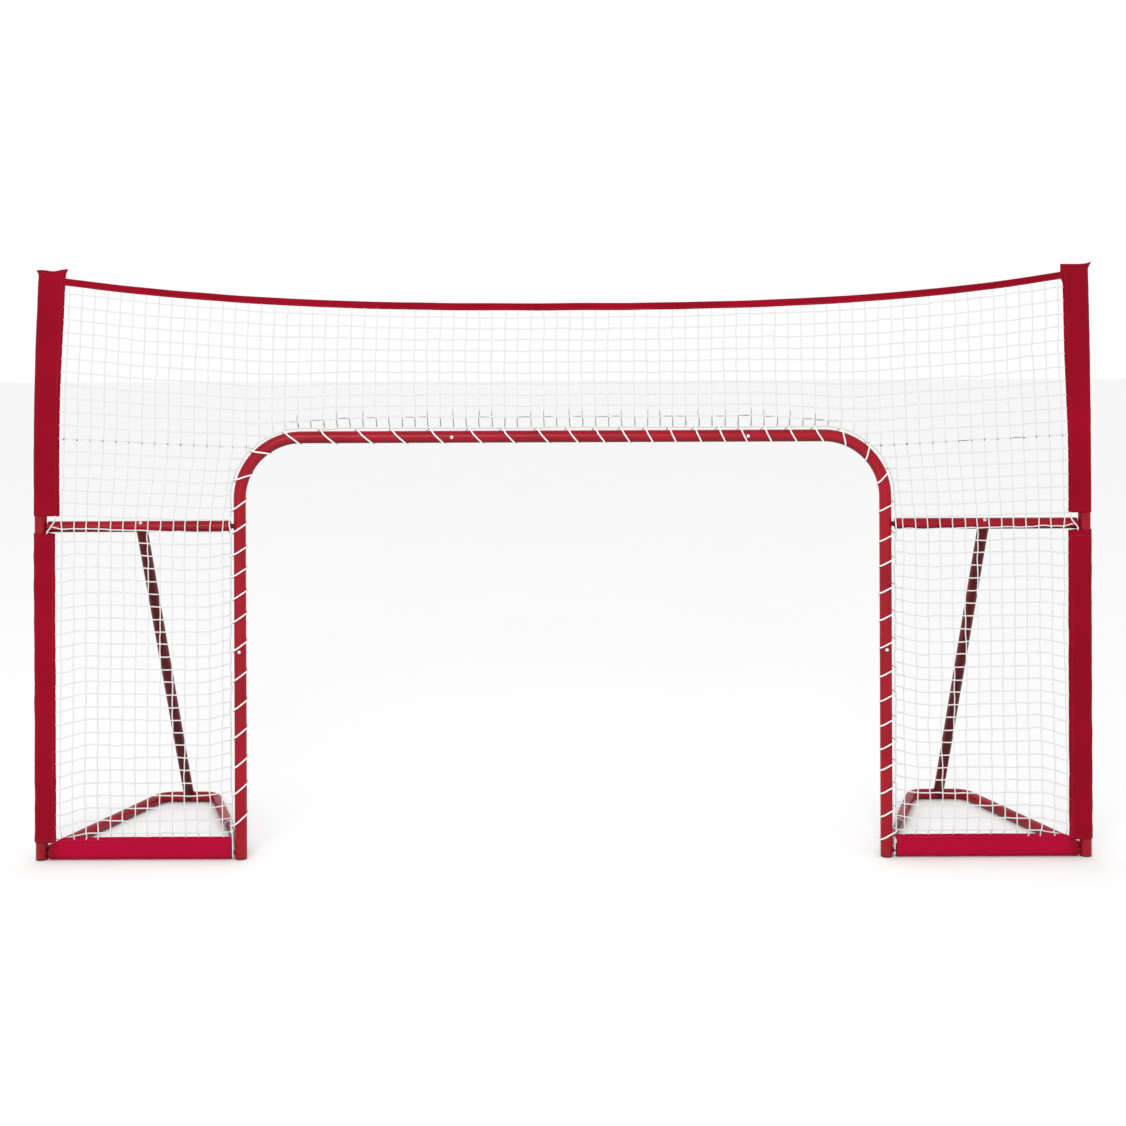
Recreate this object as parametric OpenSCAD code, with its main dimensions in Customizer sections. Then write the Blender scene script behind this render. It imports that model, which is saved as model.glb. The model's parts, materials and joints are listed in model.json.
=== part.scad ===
// Street hockey goal: an arched goal mouth of steel tube standing in a backstop net.
// Two wings of tube carry fabric sleeves, and the net hangs between them and the arch.
// Millimetres. +X to the goal's right seen from the shooter, +Y to the back, +Z up.
// The origin is on the floor, in the middle of the footprint.

/* [Goal mouth] */
// Clear width between the two arch posts
mouth_w = 1829; // [1500:1:2000]
// Clear height under the arch's top bar
mouth_h = 1198; // [1150:1:1215]
// Bend radius of the arch's corners, to the tube's centre line
arch_bend_r = 178; // [150:1:200]
// Height of the snap button in each arch post
post_button_z = 599; // [300:1:800]
// Place of the left snap button along the top bar
top_button_left_x = -318; // [-500:1:-200]
// Place of the right snap button along the top bar
top_button_right_x = 535; // [200:1:550]

/* [Wings] */
// Width over the two outer posts
overall_w = 3048; // [2950:1:3150]
// Height of the outer posts' tube
post_h = 1690; // [1650:1:1750]
// Height of the joint between an outer post's lower and upper tube
post_joint_z = 1080; // [1070:1:1120]
// Inward bow of the left outer post at its top, pulled in by the net
bow_left = 17; // [4:1:20]
// Inward bow of the right outer post at its top
bow_right = 7; // [4:1:20]
// Height of the side rail's centre line
side_rail_z = 960; // [940:1:980]
// Height of the bottom rail's centre line
bottom_rail_z = 18.5; // [18:0.5:22]

/* [Floor frame] */
// Distance from the front plane back to the back bar's centre line
depth = 610; // [550:1:680]
// Middle of each floor frame, from the goal's centre line
base_mid_x = 1216; // [1200:1:1230]
// Distance between the back bar's two bends, corner to corner
base_back_w = 172; // [160:1:200]
// Bend radius of the floor frame's tube
base_bend_r = 50; // [40:1:60]
// Distance behind the front plane at which the inner leg ends
inner_leg_end = 280; // [200:1:350]
// Tilt of the screw head on the side rail, up from straight ahead
screw_tilt = 42; // [30:1:57]

/* [Tube] */
// Outside diameter of the posts and the arch
post_d = 35; // [34:0.5:36]
// Outside diameter of the rails, braces and floor frames
rail_d = 32; // [31:0.5:33]
// Wall thickness of every tube
wall = 2; // [1.5:0.1:2.2]

/* [Fabric, net and lacing] */
// Reach of the upper sleeve's flat edge from the post's centre
upper_tail = 57; // [50:1:65]
// Reach of the lower sleeve's flat edge from the post's centre
lower_tail = 43; // [38:1:50]
// Height of the bottom sleeve's flat edge
bottom_sleeve_h = 64; // [58:1:66]
// Height of the upper sleeve's closed top
sleeve_top = 1702; // [1700:1:1760]
// Height of the top strap's upper edge at the middle
strap_mid_z = 1600; // [1560:1:1640]
// Rise of the top strap from its middle to its ends
strap_rise = 79; // [40:1:85]
// Height of the top strap's band
strap_h = 21; // [15:1:25]
// Diameter of the lacing cord
lace_d = 5; // [4:0.5:5]
// Number of turns that the lacing takes round the arch
lace_turns = 48; // [40:1:50]

/* [Hidden] */
$fn = 48;

// Colours
red_paint = [0.66, 0.11, 0.15];
dark_paint = [0.42, 0.05, 0.08];
crimson = [0.64, 0.0, 0.15];
zinc = [0.82, 0.82, 0.84];
black_plastic = [0.1, 0.02, 0.03];
white_cord = [0.94, 0.94, 0.94];

// Tube sections
post_r = post_d / 2;
rail_r = rail_d / 2;
post_bore_r = post_r - wall;
rail_bore_r = rail_r - wall;

// Main places: the arch, the outer posts and the front plane
arch_x = mouth_w / 2 + post_r;
arch_z = mouth_h + post_r;
arch_straight = arch_z - arch_bend_r;
outer_x = overall_w / 2 - post_r;
lace_path_r = post_r + lace_d;
front_reach = lace_path_r + lace_d / 2;
front_y = -(depth + rail_r - front_reach) / 2;
eps = 0.01;

// Feet and end plugs
foot_flange = 3;
foot_plug = 5.5;
plug_gap = 0.2;

// Swaged slip joints of the arch and the outer posts
spigot_len = 100;
spigot_r = post_bore_r - 0.2;
spigot_bore_r = spigot_r - wall;
neck_len = 8;
button_to_seam = 30;

// Snap buttons and their springs
button_r = 5;
button_hole_r = 5.2;
button_out = 4.5;
button_dome = 2.5;
button_flange_r = 6;
button_flange_t = 1.5;
button_back = sqrt(spigot_bore_r * spigot_bore_r - button_flange_r * button_flange_r) - 0.1;
spring_w = 9;
spring_t = 0.8;
spring_len = 50;
spring_foot = 9;

// Pegs that join rails and floor frames to the posts
peg_r = 7;
peg_hole_r = 7.2;
peg_reach = 15.5;
peg_plug_len = 14;
peg_tip = 11.5;
peg_chamfer = 1;
leg_start = peg_tip + peg_reach;
rail_inner_x = arch_x + leg_start;
rail_outer_x = outer_x - post_r - 5;

// Inner leg's stub and bush
stub_r = 11;
stub_bore_r = 9;
stub_nose = 12;
stub_overlap = 80;
bush_len = 60;
bush_flange = 2.5;

// Brace, its plug and its screw
brace_angle = atan2(side_rail_z - rail_r, depth);
brace_len = norm([depth, side_rail_z - rail_r]);
cope_gap = 0.1;
plug_len = 50;
screw_r = 3;
screw_head_r = 5.3;
screw_head_t = 3;
screw_end = 36;

// Fabric
fabric_t = 1.2;
fabric_gap = 0.5;
tail_t = 2.4;
sleeve_r = post_r + fabric_gap + fabric_t;
bottom_sleeve_r = rail_r + fabric_gap + fabric_t;
lower_sleeve_z = 52;
lower_tail_z = bottom_sleeve_h + 1;
lower_sleeve_top = side_rail_z - 18;
upper_sleeve_z = side_rail_z + 32;

// Net
net_t = 2;
net_y = front_y - post_r - 1;
net_gap = 9;
net_clear = 1;
seam_inner_z = 1189;
seam_outer_z = 1216;
seam_d = 4;
seam_gap = seam_d / 2 + net_clear;
strap_t = 3;
strap_power = 2.6;
strap_steps = 24;
edge_steps = 4;

// Lacing: the share by which its front strands lie flatter than an even helix
lace_swing = 0.55;
lace_start_z = 70;
lace_tail_angle = 35;
lace_tail_heights = [8, 30, 52];
lace_steps = 8;
lace_sides = 6;

// ---------- Shared shapes ----------

module both(side) {
    mirror([side < 0 ? 1 : 0, 0, 0]) children();
}

module ring(outer_r, inner_r) {
    difference() {
        circle(r = outer_r);
        circle(r = inner_r);
    }
}

// A tube from z0 to z1 on the Z axis
module tube(z0, z1, outer_r, inner_r) {
    translate([0, 0, z0]) linear_extrude(height = z1 - z0) ring(outer_r, inner_r);
}

// Lays a shape built along +Z down along a heading in the XY plane
module along(heading) {
    rotate([0, 0, heading]) rotate([0, 90, 0]) children();
}

function heading(p, q) = atan2(q[1] - p[1], q[0] - p[0]);

// A bend in the XY plane round the origin, from +X by an angle to the left
module bend(bend_r, angle, outer_r, inner_r) {
    rotate_extrude(angle = angle, $fn = 96) translate([bend_r, 0]) ring(outer_r, inner_r);
}

// The swaged end of a tube: a neck inside the tube and a spigot that goes into the next one
module spigot() {
    tube(-spigot_len, 1, spigot_r, spigot_bore_r);
    tube(0, neck_len, post_r, spigot_bore_r);
}

// A round end plug with a rounded rim, its flange below z = 0 and its plug above
module end_plug() {
    rim = 1.5;
    rotate_extrude() union() {
        translate([0, -foot_flange]) square([post_r - rim, foot_flange]);
        translate([0, -foot_flange + rim]) square([post_r, foot_flange - rim]);
        translate([post_r - rim, -foot_flange + rim]) intersection() {
            circle(r = rim);
            translate([0, -rim]) square([rim, rim]);
        }
        translate([0, -eps]) square([post_bore_r - plug_gap, foot_plug]);
    }
}

// Place of a snap button: its axis points to the front and its tube runs along +Z
module at_button(which) {
    if (which == "post_left") translate([-arch_x, front_y, post_button_z]) children();
    if (which == "post_right") translate([arch_x, front_y, post_button_z]) children();
    if (which == "top_left") translate([top_button_left_x, front_y, arch_z]) rotate([0, 90, 0]) children();
    if (which == "top_right") translate([top_button_right_x, front_y, arch_z]) rotate([0, -90, 0]) children();
}

// The hole that a snap button comes through, in the tube wall and the spigot wall
module button_hole(which) {
    at_button(which) rotate([90, 0, 0]) cylinder(r = button_hole_r, h = post_r + 5);
}

// ---------- Arch ----------

module arch_post(side) {
    color(red_paint) difference() {
        both(side) translate([arch_x, front_y, 0])
            tube(foot_flange, post_button_z + button_to_seam, post_r, post_bore_r);
        button_hole(side < 0 ? "post_left" : "post_right");
        both(side) translate([arch_x, front_y, bottom_rail_z]) rotate([0, 90, 0])
            cylinder(r = peg_hole_r, h = post_r + 5);
        both(side) translate([arch_x, front_y, rail_r]) along(inner_leg_heading)
            cylinder(r = peg_hole_r, h = post_r + 5);
    }
}

module arch_corner(side) {
    seam_z = post_button_z + button_to_seam;
    seam_x = side < 0 ? -top_button_left_x - button_to_seam : top_button_right_x - button_to_seam;
    button = side < 0 ? "left" : "right";
    color(red_paint) difference() {
        both(side) translate([0, front_y, 0]) union() {
            translate([arch_x, 0, 0]) tube(seam_z, arch_straight, post_r, post_bore_r);
            translate([arch_x, 0, seam_z]) spigot();
            translate([arch_x - arch_bend_r, 0, arch_straight]) rotate([90, 0, 0])
                bend(arch_bend_r, 90, post_r, post_bore_r);
            translate([0, 0, arch_z]) rotate([0, 90, 0])
                tube(seam_x, arch_x - arch_bend_r, post_r, post_bore_r);
        }
        button_hole(str("post_", button));
        button_hole(str("top_", button));
        both(side) translate([arch_x, front_y, side_rail_z]) rotate([0, 90, 0])
            cylinder(r = peg_hole_r, h = post_r + 5);
    }
}

module arch_top_bar() {
    x0 = top_button_left_x + button_to_seam;
    x1 = top_button_right_x - button_to_seam;
    color(red_paint) difference() {
        translate([0, front_y, arch_z]) union() {
            translate([x0, 0, 0]) rotate([0, 90, 0]) tube(0, x1 - x0, post_r, post_bore_r);
            translate([x0, 0, 0]) rotate([0, 90, 0]) spigot();
            translate([x1, 0, 0]) rotate([0, -90, 0]) spigot();
        }
        button_hole("top_left");
        button_hole("top_right");
    }
}

module arch_foot(side) {
    color(black_plastic) both(side) translate([arch_x, front_y, foot_flange]) end_plug();
}

// A domed button with a flange that stops it inside the spigot
module snap_button(which) {
    tip = post_r + button_out;
    flange_z = button_back - button_flange_t;
    ball_r = (button_r * button_r + button_dome * button_dome) / (2 * button_dome);
    color(zinc) at_button(which) rotate([90, 0, 0]) union() {
        intersection() {
            translate([0, 0, flange_z]) cylinder(r = button_r, h = tip - flange_z);
            translate([0, 0, tip - ball_r]) sphere(r = ball_r);
        }
        translate([0, 0, flange_z]) cylinder(r = button_flange_r, h = button_flange_t);
    }
}

// A bent spring strip: one leg behind the button, the other on the tube's far wall
module button_spring(which) {
    near = -(button_back - button_flange_t);
    far = sqrt(spigot_bore_r * spigot_bore_r - spring_w * spring_w / 4) - 0.1;
    color(zinc) at_button(which) rotate([0, -90, 0]) translate([0, 0, -spring_w / 2])
        linear_extrude(height = spring_w) polygon([
            [-spring_foot, near], [spring_foot, near], [spring_len, -1.5], [spring_len, 1.5],
            [spring_foot, far], [-spring_foot, far], [-spring_foot, far - spring_t],
            [spring_foot, far - spring_t], [spring_len - 2, 1], [spring_len - 2, -1],
            [spring_foot, near + spring_t], [-spring_foot, near + spring_t]
        ]);
}

// ---------- Outer posts ----------

bow_start_z = post_joint_z + neck_len;
bow_rise = post_h - bow_start_z;
function bow(side) = side < 0 ? bow_left : bow_right;
function bow_r(side) = round((bow_rise * bow_rise + bow(side) * bow(side)) / (2 * bow(side)));
// Angle of the bowed tube's end, or of a point beyond it
function bow_angle(side, beyond = 0) = asin((bow_rise + beyond) / bow_r(side));
// How far the post has moved inward at a height
function bow_at(side, z) = z <= bow_start_z ? 0
    : bow_r(side) - sqrt(bow_r(side) * bow_r(side) - (z - bow_start_z) * (z - bow_start_z));

module outer_post_lower(side) {
    color(red_paint) both(side) difference() {
        translate([outer_x, front_y, 0]) tube(foot_flange, post_joint_z, post_r, post_bore_r);
        for (z = [bottom_rail_z, side_rail_z])
            translate([outer_x, front_y, z]) rotate([0, -90, 0]) cylinder(r = peg_hole_r, h = post_r + 5);
        translate([outer_x, front_y, rail_r]) along(outer_leg_heading)
            cylinder(r = peg_hole_r, h = post_r + 5);
    }
}

// Sweeps a section up the bowed post, from where the bow starts to an angle
module bowed(side, angle) {
    translate([outer_x - bow_r(side), front_y, bow_start_z]) rotate([90, 0, 0])
        rotate_extrude(angle = angle, $fn = 1440) translate([bow_r(side), 0]) children();
}

// Carries a shape to the bowed post's end
module at_bow_end(side) {
    translate([outer_x - bow_at(side, post_h), front_y, post_h]) rotate([0, -bow_angle(side), 0]) children();
}

module outer_post_upper(side) {
    color(red_paint) both(side) union() {
        bowed(side, bow_angle(side)) ring(post_r, post_bore_r);
        translate([outer_x, front_y, post_joint_z]) spigot();
    }
}

module outer_foot(side) {
    color(black_plastic) both(side) translate([outer_x, front_y, foot_flange]) end_plug();
}

module outer_top_cap(side) {
    color(black_plastic) both(side) at_bow_end(side) rotate([180, 0, 0]) end_plug();
}

// ---------- Rails and pegs ----------

// Cuts along the screw's line through the side rail and the brace's plug
module screw_line(r) {
    translate([base_mid_x, front_y, side_rail_z]) rotate([90 - screw_tilt, 0, 0])
        translate([0, 0, -screw_end - 4]) cylinder(r = r, h = screw_end + 4 + rail_d);
}

module side_rail(side) {
    color(red_paint) both(side) difference() {
        translate([0, front_y, side_rail_z]) rotate([0, 90, 0])
            tube(rail_inner_x, rail_outer_x, rail_r, rail_bore_r);
        screw_line(screw_r + 0.3);
    }
}

module bottom_rail(side) {
    color(red_paint) both(side) translate([0, front_y, bottom_rail_z]) rotate([0, 90, 0])
        tube(rail_inner_x, rail_outer_x, rail_r, rail_bore_r);
}

// A stepped peg: its plug below z = 0 fills the rail's end, its pin above goes into the post
module peg() {
    rotate_extrude() polygon([
        [0, -peg_plug_len], [rail_bore_r - 0.1, -peg_plug_len], [rail_bore_r - 0.1, 0], [peg_r, 0],
        [peg_r, peg_reach - peg_chamfer], [peg_r - peg_chamfer, peg_reach], [0, peg_reach]
    ]);
}

module rail_pegs(side) {
    color(dark_paint) both(side) {
        for (z = [bottom_rail_z, side_rail_z]) {
            translate([rail_inner_x, front_y, z]) rotate([0, -90, 0]) peg();
            translate([rail_outer_x, front_y, z]) rotate([0, 90, 0]) peg();
        }
        translate([outer_x, front_y, rail_r]) along(outer_leg_heading)
            translate([0, 0, leg_start]) rotate([180, 0, 0]) peg();
    }
}

// ---------- Floor frames and braces ----------

// Corner points of the right floor frame in plan, from the front plane
outer_foot_at = [outer_x, 0];
outer_bend_at = [base_mid_x + base_back_w / 2, depth];
inner_bend_at = [base_mid_x - base_back_w / 2, depth];
inner_foot_at = [arch_x, 0];
outer_leg_heading = heading(outer_foot_at, outer_bend_at);
inner_leg_heading = heading(inner_foot_at, inner_bend_at);
inner_leg_start = inner_leg_end / sin(inner_leg_heading);

outer_turn = 180 - outer_leg_heading;
inner_turn = inner_leg_heading;
// Distance from a floor frame's corner to where its bend starts and ends
function bend_tangent(turn) = base_bend_r * tan(turn / 2);

// A straight leg of a floor frame, between two distances from its post's centre line
module base_leg(foot, dir, from, to) {
    translate([foot[0], front_y + foot[1], rail_r]) along(dir) tube(from, to, rail_r, rail_bore_r);
}

module base_leg_outer(side) {
    length = norm(outer_bend_at - outer_foot_at);
    color(red_paint) both(side)
        base_leg(outer_foot_at, outer_leg_heading, leg_start, length - bend_tangent(outer_turn));
}

module base_leg_inner(side) {
    length = norm(inner_bend_at - inner_foot_at);
    color(red_paint) both(side)
        base_leg(inner_foot_at, inner_leg_heading, inner_leg_start, length - bend_tangent(inner_turn));
}

// The back bar with its two bends
module base_back(side) {
    bar_start = inner_bend_at[0] + bend_tangent(inner_turn);
    bar_len = outer_bend_at[0] - bend_tangent(outer_turn) - bar_start;
    color(red_paint) both(side) translate([bar_start, front_y + depth, rail_r]) union() {
        rotate([0, 90, 0]) tube(0, bar_len, rail_r, rail_bore_r);
        translate([bar_len, -base_bend_r, 0]) rotate([0, 0, 90]) rotate([180, 0, 0])
            bend(base_bend_r, outer_turn, rail_r, rail_bore_r);
        translate([0, -base_bend_r, 0]) rotate([0, 0, 90]) bend(base_bend_r, inner_turn, rail_r, rail_bore_r);
    }
}

// A thin tube with a solid nose and a peg, which joins the inner leg to the arch's foot
module base_stub(side) {
    color(dark_paint) both(side) translate([arch_x, front_y, rail_r]) along(inner_leg_heading) union() {
        rotate_extrude() polygon([
            [0, peg_tip], [peg_r - peg_chamfer, peg_tip], [peg_r, peg_tip + peg_chamfer], [peg_r, leg_start],
            [stub_r, leg_start], [stub_r, leg_start + stub_nose], [0, leg_start + stub_nose]
        ]);
        tube(leg_start + stub_nose - eps, inner_leg_start + stub_overlap, stub_r, stub_bore_r);
    }
}

// A flanged bush in the inner leg's open end, which the stub slides through
module leg_bush(side) {
    color(zinc) both(side) translate([arch_x, front_y, rail_r]) along(inner_leg_heading) union() {
        tube(inner_leg_start - bush_flange, inner_leg_start, rail_r, stub_r + 0.1);
        tube(inner_leg_start - eps, inner_leg_start + bush_len, rail_bore_r - 0.1, stub_r + 0.1);
    }
}

// Lays a shape built along +Z down the brace's line, from the side rail to the back bar
module down_brace() {
    translate([base_mid_x, front_y, side_rail_z]) rotate([-90 - brace_angle, 0, 0]) children();
}

// The two round bars that the brace's ends are coped to
module cope_bars() {
    for (at = [[0, side_rail_z], [depth, rail_r]])
        translate([base_mid_x - rail_d, front_y + at[0], at[1]]) rotate([0, 90, 0])
            cylinder(r = rail_r + cope_gap, h = 2 * rail_d);
}

module brace(side) {
    color(dark_paint) both(side) difference() {
        down_brace() tube(0, brace_len, rail_r, rail_bore_r);
        cope_bars();
    }
}

module brace_plug(side) {
    color(black_plastic) both(side) difference() {
        down_brace() cylinder(r = rail_bore_r - 0.1, h = plug_len);
        cope_bars();
        screw_line(screw_r + 0.05);
    }
}

module brace_screws() {
    head_z = rail_r + 0.1;
    color(zinc) for (side = [-1, 1]) both(side)
        translate([base_mid_x, front_y, side_rail_z]) rotate([90 - screw_tilt, 0, 0]) union() {
            translate([0, 0, -screw_end]) cylinder(r = screw_r, h = screw_end + head_z + eps);
            translate([0, 0, head_z]) cylinder(r = screw_head_r, h = screw_head_t - 1);
            translate([0, 0, head_z + screw_head_t - 1 - eps])
                cylinder(r1 = screw_head_r, r2 = screw_head_r - 1.2, h = 1);
        }
}

// ---------- Fabric sleeves and strap ----------

// Where the line from an outside point touches a circle round the origin
function tangent_point(p, r) =
    let (a = atan2(p[1], p[0]) - acos(r / norm(p))) r * [cos(a), sin(a)];

// The part of a sleeve's section that is drawn out flat to -x, in the net's plane at -y
module sleeve_tail(r, tail) {
    sink = 0.2;
    polygon([
        [0, 0], [0, -r + sink], [-tail, -r], [-tail, -r + tail_t],
        tangent_point([-tail, -r + tail_t], r - sink)
    ]);
}

// A sleeve's section: round the tube, with its tail
module sleeve_section(r, tube_r, tail) {
    difference() {
        union() {
            circle(r = r);
            sleeve_tail(r, tail);
        }
        circle(r = tube_r + fabric_gap);
    }
}

module upper_sleeve(side) {
    closed_from = foot_flange + 2;
    color(crimson) both(side) union() {
        translate([outer_x, front_y, upper_sleeve_z]) linear_extrude(height = bow_start_z - upper_sleeve_z)
            sleeve_section(sleeve_r, post_r, upper_tail);
        bowed(side, bow_angle(side, closed_from + 1)) mirror([0, 1])
            sleeve_section(sleeve_r, post_r, upper_tail);
        at_bow_end(side) translate([0, 0, closed_from])
            linear_extrude(height = sleeve_top - post_h - closed_from)
            sleeve_section(sleeve_r + 0.4, -fabric_gap, upper_tail + 4);
    }
}

module lower_sleeve(side) {
    color(crimson) both(side) translate([outer_x, front_y, 0]) union() {
        tube(lower_sleeve_z, lower_tail_z, sleeve_r, post_r + fabric_gap);
        translate([0, 0, lower_tail_z]) linear_extrude(height = lower_sleeve_top - lower_tail_z)
            sleeve_section(sleeve_r, post_r, lower_tail);
    }
}

module bottom_sleeve(side) {
    length = rail_outer_x - rail_inner_x - 2;
    color(crimson) both(side) translate([rail_inner_x, front_y, bottom_rail_z])
        rotate([0, 90, 0]) difference() {
            union() {
                cylinder(r = bottom_sleeve_r, h = length);
                linear_extrude(height = length) sleeve_tail(bottom_sleeve_r, bottom_sleeve_h - bottom_rail_z);
            }
            translate([0, 0, -1]) cylinder(r = rail_r + fabric_gap, h = length + 2);
        }
}

// Half width of the net at a height, up to the sleeve's flat edge
function net_edge(side, z) =
    outer_x - bow_at(side, z) - (z > lower_sleeve_top ? upper_tail : lower_tail) - net_clear;
// Height of the strap's top edge at a signed place across the goal
function strap_z(x) = strap_mid_z
    + strap_rise * pow(abs(x) / net_edge(sign(x), strap_mid_z + strap_rise), strap_power);
strap_left = -net_edge(-1, strap_mid_z + strap_rise);
strap_right = net_edge(1, strap_mid_z + strap_rise);
strap_xs = [for (i = [0 : strap_steps]) strap_left + (strap_right - strap_left) * i / strap_steps];

// Stands a flat outline, drawn as x across and y up, in the net's plane
module upright(y, thickness) {
    translate([0, y + thickness / 2, 0]) rotate([90, 0, 0]) linear_extrude(height = thickness) children();
}

module top_strap() {
    color(crimson) upright(net_y, strap_t) polygon(concat(
        [for (x = strap_xs) [x, strap_z(x)]],
        [for (i = [strap_steps : -1 : 0]) [strap_xs[i], strap_z(strap_xs[i]) - strap_h]]
    ));
}

// ---------- Net, seam and lacing ----------

// Height of the seam between the top net and a side net
function seam_z(x) = seam_inner_z
    + (seam_outer_z - seam_inner_z) * (abs(x) - arch_x) / (net_edge(1, seam_outer_z) - arch_x);

// The outline of the arch, grown by a margin, filled down to the floor
module arch_outline(margin) {
    r = arch_bend_r + post_r + margin;
    for (side = [-1, 1]) translate([side * (arch_x - arch_bend_r), arch_straight]) circle(r = r, $fn = 96);
    translate([-(arch_x - arch_bend_r), 0]) square([2 * (arch_x - arch_bend_r), arch_straight + r]);
    translate([-(arch_x + post_r + margin), -1])
        square([2 * (arch_x + post_r + margin), arch_straight + 1]);
}

module net_side(side) {
    inner = arch_x - arch_bend_r;
    outer_top = net_edge(side, seam_outer_z);
    low = bottom_sleeve_h + net_clear;
    color(white_cord) both(side) upright(net_y, net_t) difference() {
        polygon([
            [inner, low], [net_edge(side, low), low], [net_edge(side, low), lower_sleeve_top],
            [net_edge(side, upper_sleeve_z), upper_sleeve_z - net_clear],
            [outer_top, seam_z(outer_top) - seam_gap], [inner, seam_z(inner) - seam_gap]
        ]);
        arch_outline(net_gap);
    }
}

// Points up one side edge of the top net, from the seam to the strap
function net_side_edge(side, low, high) =
    [for (i = [0 : edge_steps]) let (z = low + (high - low) * i / edge_steps) [side * net_edge(side, z), z]];

module net_top() {
    low = seam_outer_z + seam_gap;
    under = strap_h + net_clear;
    left_edge = net_side_edge(-1, low, strap_z(strap_left) - under);
    right_edge = net_side_edge(1, low, strap_z(strap_right) - under);
    corner_x = arch_x - arch_bend_r;
    color(white_cord) upright(net_y, net_t) difference() {
        polygon(concat(
            left_edge,
            [for (x = strap_xs) if (x > strap_left && x < strap_right) [x, strap_z(x) - under]],
            [for (i = [edge_steps : -1 : 0]) right_edge[i]],
            [for (x = [arch_x, corner_x, -corner_x, -arch_x]) [x, seam_z(arch_x) + seam_gap]]
        ));
        arch_outline(net_gap);
    }
}

// The twine that joins the top net to the two side nets
module net_seam_cords() {
    inner = arch_x - 20;
    color(white_cord) for (side = [-1, 1]) both(side) {
        outer = net_edge(side, seam_outer_z);
        tilt = atan2(seam_z(outer) - seam_z(inner), outer - inner);
        translate([inner, net_y, seam_z(inner)]) rotate([0, 90 - tilt, 0])
            cylinder(r = seam_d / 2, h = (outer - inner) / cos(tilt), $fn = 24);
    }
}

// The arch's centre line: x, z and the outward direction at a distance from the left foot
bend_len = arch_bend_r * PI / 2;
top_len = 2 * (arch_x - arch_bend_r);
arch_len = 2 * arch_straight + 2 * bend_len + top_len;
function arch_at(s) =
    s < arch_straight ? [-arch_x, s, 180]
    : s < arch_straight + bend_len ? bend_point(-1, 180 - 90 * (s - arch_straight) / bend_len)
    : s < arch_straight + bend_len + top_len
        ? [s - arch_straight - bend_len - top_len / 2, arch_z, 90]
    : s < arch_len - arch_straight ? bend_point(1, 90 * (arch_len - arch_straight - s) / bend_len)
    : [arch_x, arch_len - s, 0];
function bend_point(side, a) =
    [side * (arch_x - arch_bend_r) + arch_bend_r * cos(a), arch_straight + arch_bend_r * sin(a), a];

// A point of the lacing: at a distance along the arch, turned round the tube from its outer side
function lace_point(s, around) =
    let (c = arch_at(s), out = lace_path_r * cos(around))
    [c[0] + out * cos(c[2]), front_y - lace_path_r * sin(around), c[1] + out * sin(c[2])];

lace_pitch = (arch_len - 2 * lace_start_z) / lace_turns;
function lace_s(a) = lace_start_z + lace_pitch * (a / 360 - lace_swing * sin(a) / (2 * PI));
lace_from = lace_tail_angle - 90;
lace_to = lace_from + 360 * (lace_turns - 1);
lace_count = (lace_turns - 1) * lace_steps;
lace_path = concat(
    [for (h = lace_tail_heights) lace_point(h, lace_tail_angle)],
    [for (i = [0 : lace_count]) let (a = lace_from + (lace_to - lace_from) * i / lace_count)
        lace_point(lace_s(a), a + 90)],
    [for (i = [len(lace_tail_heights) - 1 : -1 : 0])
        lace_point(arch_len - lace_tail_heights[i], lace_tail_angle)]
);

function unit(v) = v / norm(v);

// A round cord swept along a path of points
module cord(path, r, sides) {
    last = len(path) - 1;
    points = [for (i = [0 : last]) let (
        ahead = unit(path[min(i + 1, last)] - path[max(i - 1, 0)]),
        side = unit(cross(ahead, [0.2, 1, 0.1])),
        up = cross(side, ahead)
    ) for (k = [0 : sides - 1]) path[i] + r * (cos(360 * k / sides) * side + sin(360 * k / sides) * up)];
    walls = [for (i = [0 : last - 1], k = [0 : sides - 1]) let (
        a = i * sides + k, b = i * sides + (k + 1) % sides
    ) each [[a, b, a + sides], [b, b + sides, a + sides]]];
    ends = [[for (k = [sides - 1 : -1 : 0]) k], [for (k = [0 : sides - 1]) last * sides + k]];
    polyhedron(points = points, faces = concat(walls, ends));
}

module arch_lacing() {
    color(white_cord) cord(lace_path, lace_d / 2, lace_sides);
}

// ---------- Nodes ----------

arch_post(-1);  // arch_post_left
arch_post(1);  // arch_post_right
arch_corner(-1);  // arch_corner_left
arch_corner(1);  // arch_corner_right
arch_top_bar();
arch_foot(-1);  // arch_foot_left
arch_foot(1);  // arch_foot_right
snap_button("post_left");  // snap_button_post_left
snap_button("post_right");  // snap_button_post_right
snap_button("top_left");  // snap_button_top_left
snap_button("top_right");  // snap_button_top_right
button_spring("post_left");  // button_spring_post_left
button_spring("post_right");  // button_spring_post_right
button_spring("top_left");  // button_spring_top_left
button_spring("top_right");  // button_spring_top_right
outer_post_lower(-1);  // outer_post_lower_left
outer_post_lower(1);  // outer_post_lower_right
outer_post_upper(-1);  // outer_post_upper_left
outer_post_upper(1);  // outer_post_upper_right
outer_foot(-1);  // outer_foot_left
outer_foot(1);  // outer_foot_right
outer_top_cap(-1);  // outer_top_cap_left
outer_top_cap(1);  // outer_top_cap_right
side_rail(-1);  // side_rail_left
side_rail(1);  // side_rail_right
bottom_rail(-1);  // bottom_rail_left
bottom_rail(1);  // bottom_rail_right
rail_pegs(-1);  // rail_pegs_left
rail_pegs(1);  // rail_pegs_right
base_back(-1);  // base_back_left
base_back(1);  // base_back_right
base_leg_outer(-1);  // base_leg_outer_left
base_leg_outer(1);  // base_leg_outer_right
base_leg_inner(-1);  // base_leg_inner_left
base_leg_inner(1);  // base_leg_inner_right
base_stub(-1);  // base_stub_left
base_stub(1);  // base_stub_right
leg_bush(-1);  // leg_bush_left
leg_bush(1);  // leg_bush_right
brace(-1);  // brace_left
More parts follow.
